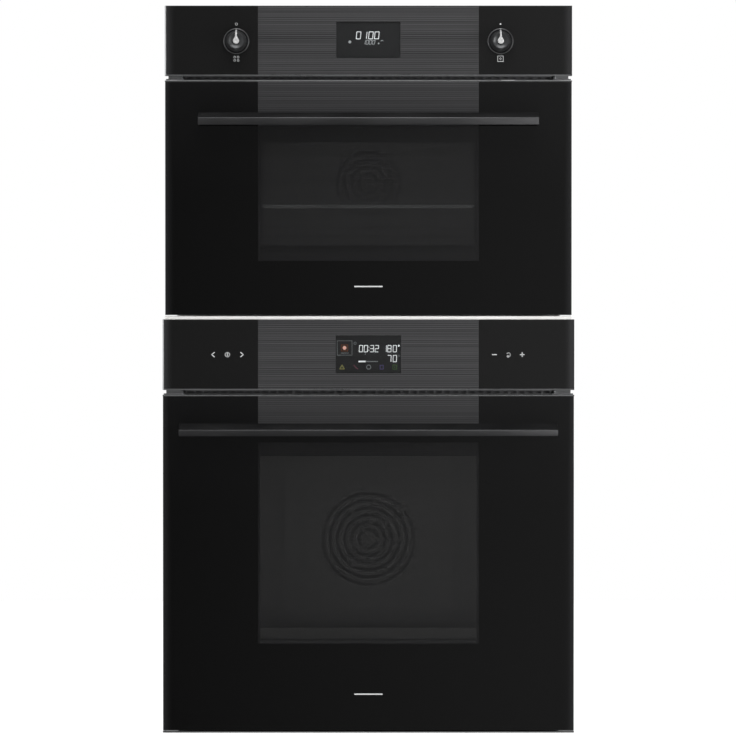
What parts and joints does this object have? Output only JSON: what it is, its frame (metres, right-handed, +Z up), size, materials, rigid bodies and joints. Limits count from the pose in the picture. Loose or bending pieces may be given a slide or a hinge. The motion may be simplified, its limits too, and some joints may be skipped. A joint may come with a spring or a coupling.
{
  "type": "double wall oven",
  "caption": "Column of two built-in ovens with black glass fronts: a compact microwave combination oven above a full-size oven, with drop-down doors, full-width handles and control knobs.",
  "frame": {"origin": "middle of the column's bounding box at its base", "axes": "+X to the viewer's right, +Y to the back, +Z up; the doors and handles face -Y"},
  "size_m": [0.597, 0.611, 1.0546],
  "materials": {
    "black_glass": "black ceramic-printed front glass, gloss",
    "clear_glass": "clear heat-reflecting pane",
    "anodised": "black anodised, satin",
    "bright_edge": "satin anodised",
    "enamel": "vitreous enamel, speckled grey-black",
    "galvanised": "galvanised sheet",
    "stainless": "satin stainless",
    "black_paint": "satin black",
    "white_paint": "white powder coat",
    "chrome_wire": "bright chromed rod",
    "heater": "oxidised alloy sheath",
    "wool": "mineral wool",
    "gasket": "woven glass and silicone",
    "knob_black": "satin black with metallic pointer",
    "pcb": "circuit board",
    "display": "smoked display window",
    "terminal": "off-white terminal plastic",
    "ceramic": "glass-ceramic plate",
    "lens": "frosted lamp lens",
    "motor_steel": "laminated core and coil",
    "shaft": "turned",
    "rotor": "bare sheet"
  },
  "bodies": {
    "chassis": {"blower_housings": "galvanised", "control_boards": "pcb", "fan_motors": "motor_steel", "filler_strip": "white_paint", "hinge_arms": "stainless", "lower_baking_tray": "enamel", "lower_base_element": "heater", "lower_bottom_trim": "bright_edge", "lower_casing": "galvanised", "lower_cavity": "enamel", "lower_display": "display", "lower_door_seal": "gasket", "lower_fan_cover": "enamel", "lower_front_frame": "enamel", "lower_grill_element": "heater", "lower_insulation": "wool", "lower_panel_frame": "bright_edge", "lower_panel_glass": "black_glass", "lower_side_racks": "chrome_wire", "lower_wire_shelf": "chrome_wire", "oven_lamps": "lens", "ring_elements": "heater", "stacking_shelf": "white_paint", "terminal_blocks": "terminal", "upper_casing": "galvanised", "upper_cavity": "enamel", "upper_ceramic_base": "ceramic", "upper_display": "display", "upper_door_seal": "gasket", "upper_fan_cover": "enamel", "upper_front_frame": "enamel", "upper_grill_element": "heater", "upper_insulation": "wool", "upper_inverter": "pcb", "upper_magnetron": "rotor", "upper_panel_frame": "bright_edge", "upper_panel_glass": "black_glass", "upper_stirrer_motor": "motor_steel", "upper_waveguide": "galvanised", "upper_wire_shelf": "chrome_wire"},
    "upper_door": {"upper_door_glass": "black_glass", "upper_door_panes": "clear_glass", "upper_door_frame": "anodised", "upper_door_handle": "anodised", "upper_door_hinges": "stainless", "upper_door_mesh": "black_paint"},
    "lower_door": {"lower_door_glass": "black_glass", "lower_door_panes": "clear_glass", "lower_door_frame": "anodised", "lower_door_handle": "anodised", "lower_door_hinges": "stainless"},
    "left_push": {"upper_knob_shaft_left": "shaft"},
    "left_knob": {"upper_knob_left": "knob_black"},
    "right_push": {"upper_knob_shaft_right": "shaft"},
    "right_knob": {"upper_knob_right": "knob_black"},
    "upper_fan": {"upper_fan_impeller": "rotor"},
    "lower_fan": {"lower_fan_impeller": "rotor"},
    "upper_blower": {"upper_blower_rotor": "rotor"},
    "lower_blower": {"lower_blower_rotor": "rotor"},
    "stirrer": {"upper_stirrer": "rotor"}
  },
  "joints": [
    {"name": "upper_door_hinge", "type": "hinge", "parent": "chassis", "child": "upper_door", "pos_m": [0, -0.2545, 0.6404], "axis": [1, 0, 0], "range_deg": [0, 90], "stiffness_Nm_per_rad": 3.5, "springref_deg": -22.92},
    {"name": "lower_door_hinge", "type": "hinge", "parent": "chassis", "child": "lower_door", "pos_m": [0, -0.2545, 0.0375], "axis": [1, 0, 0], "range_deg": [0, 90], "stiffness_Nm_per_rad": 9, "springref_deg": -22.92},
    {"name": "left_knob_press", "type": "slide", "parent": "chassis", "child": "left_push", "axis": [0, 1, 0], "range_m": [0, 0.002], "stiffness_N_per_m": 1500, "springref_m": -0.0005},
    {"name": "left_knob_turn", "type": "hinge", "parent": "left_push", "child": "left_knob", "pos_m": [-0.1913, -0.2735, 1.003], "axis": [0, -1, 0], "continuous": true},
    {"name": "right_knob_press", "type": "slide", "parent": "chassis", "child": "right_push", "axis": [0, 1, 0], "range_m": [0, 0.002], "stiffness_N_per_m": 1500, "springref_m": -0.0005},
    {"name": "right_knob_turn", "type": "hinge", "parent": "right_push", "child": "right_knob", "pos_m": [0.1913, -0.2735, 1.003], "axis": [0, -1, 0], "continuous": true},
    {"name": "upper_fan_spin", "type": "hinge", "parent": "chassis", "child": "upper_fan", "pos_m": [0, 0.1165, 0.8], "axis": [0, 1, 0], "continuous": true},
    {"name": "lower_fan_spin", "type": "hinge", "parent": "chassis", "child": "lower_fan", "pos_m": [0, 0.1665, 0.262], "axis": [0, 1, 0], "continuous": true},
    {"name": "upper_blower_spin", "type": "hinge", "parent": "chassis", "child": "upper_blower", "pos_m": [0, 0.2365, 0.9905], "axis": [1, 0, 0], "continuous": true},
    {"name": "lower_blower_spin", "type": "hinge", "parent": "chassis", "child": "lower_blower", "pos_m": [0, 0.2365, 0.53], "axis": [1, 0, 0], "continuous": true},
    {"name": "stirrer_spin", "type": "hinge", "parent": "chassis", "child": "stirrer", "pos_m": [0, -0.0335, 0.905], "axis": [0, 0, 1], "continuous": true}
  ]
}
